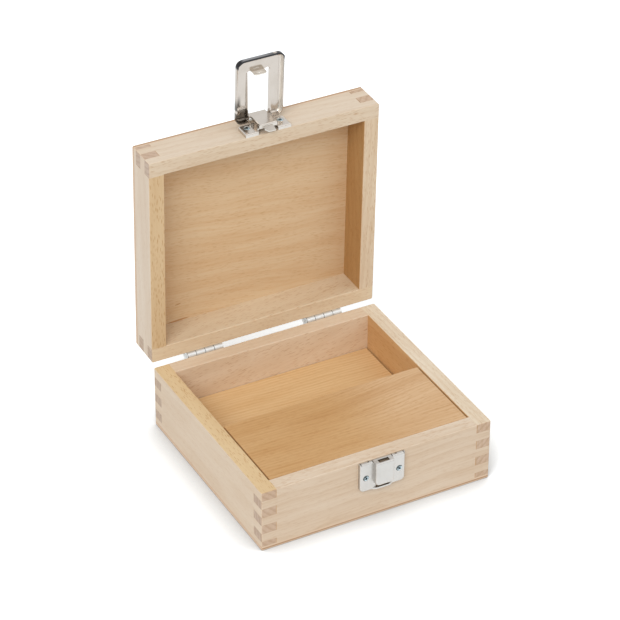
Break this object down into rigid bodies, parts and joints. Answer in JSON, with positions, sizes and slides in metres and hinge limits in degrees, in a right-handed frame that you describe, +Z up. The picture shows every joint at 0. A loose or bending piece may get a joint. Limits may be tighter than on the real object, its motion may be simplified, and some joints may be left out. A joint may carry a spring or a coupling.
{
  "type": "weight set case",
  "caption": "Small finger-jointed wooden case with a hinged lid standing open, a raised block and a rear compartment in its base, and a pressed metal toggle latch at the front.",
  "frame": {"origin": "centre of the base's underside", "axes": "+X to the right seen from the front, +Y from the latch to the hinges, +Z up"},
  "size_m": [0.156, 0.1767, 0.2378],
  "materials": {
    "wall_wood": "satin",
    "insert_wood": "satin",
    "plywood": "satin",
    "satin_nickel": "satin",
    "bright_nickel": "polished",
    "hinge_steel": "satin",
    "zinc_steel": "satin",
    "pin_steel": "satin"
  },
  "bodies": {
    "base": {"base_front_wall": "wall_wood", "base_rear_wall": "wall_wood", "base_left_wall": "wall_wood", "base_right_wall": "wall_wood", "base_bottom_panel": "plywood", "insert_floor_board": "insert_wood", "insert_front_block": "insert_wood", "keeper_plate": "satin_nickel", "keeper_screws": "zinc_steel", "hinge_base_leaf_left": "hinge_steel", "hinge_base_leaf_right": "hinge_steel", "base_hinge_screws": "zinc_steel", "hinge_pin_left": "pin_steel", "hinge_pin_right": "pin_steel"},
    "lid": {"lid_front_wall": "wall_wood", "lid_rear_wall": "wall_wood", "lid_left_wall": "wall_wood", "lid_right_wall": "wall_wood", "lid_top_panel": "plywood", "latch_plate": "bright_nickel", "latch_plate_screws": "zinc_steel", "hinge_lid_leaf_left": "hinge_steel", "hinge_lid_leaf_right": "hinge_steel", "lid_hinge_screws": "zinc_steel"},
    "lever": {"latch_lever": "bright_nickel", "latch_pin": "pin_steel"}
  },
  "joints": [
    {"name": "lid_hinge", "type": "hinge", "parent": "base", "child": "lid", "pos_m": [0, 0.07465, 0.0426], "axis": [1, 0, 0], "range_deg": [0, 88.5]},
    {"name": "latch_pivot", "type": "hinge", "parent": "lid", "child": "lever", "pos_m": [0.0014, 0.08338, 0.19433], "axis": [1, 0, 0], "range_deg": [-80, 88.5]}
  ]
}
